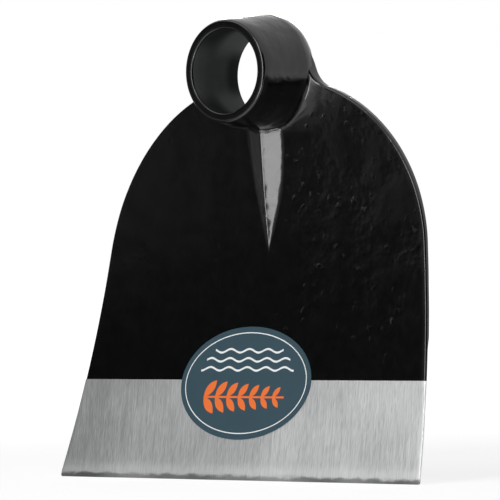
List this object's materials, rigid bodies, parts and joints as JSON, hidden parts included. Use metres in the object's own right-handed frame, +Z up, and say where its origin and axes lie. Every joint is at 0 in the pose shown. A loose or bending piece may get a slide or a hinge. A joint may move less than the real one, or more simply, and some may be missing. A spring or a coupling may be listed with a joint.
{
  "type": "grub hoe head",
  "caption": "Forged grub hoe head with a tapered round eye for a wooden handle, a short rib, a broad curled blade with round shoulders and a bare ground cutting edge.",
  "frame": {"origin": "centre of the eye's front mouth, on the eye's axis", "axes": "+Y along the eye's axis from the front mouth to the back mouth, +Z up, so that the blade hangs along -Z and its face looks towards -Y, the user's side"},
  "size_m": [0.2326, 0.0385, 0.233],
  "materials": {
    "black_lacquer": "thin black lacquer over a hammered and dimpled forging",
    "ground_steel": "bare steel with near-upright grinding lines under clear lacquer",
    "label_film": "slate blue self-adhesive film with an orange sprig, white furrow lines and a thin oval line"
  },
  "bodies": {
    "root": {"eye": "black_lacquer", "rib": "black_lacquer", "blade": "black_lacquer", "ground_edge": "ground_steel", "label": "label_film"}
  },
  "joints": []
}
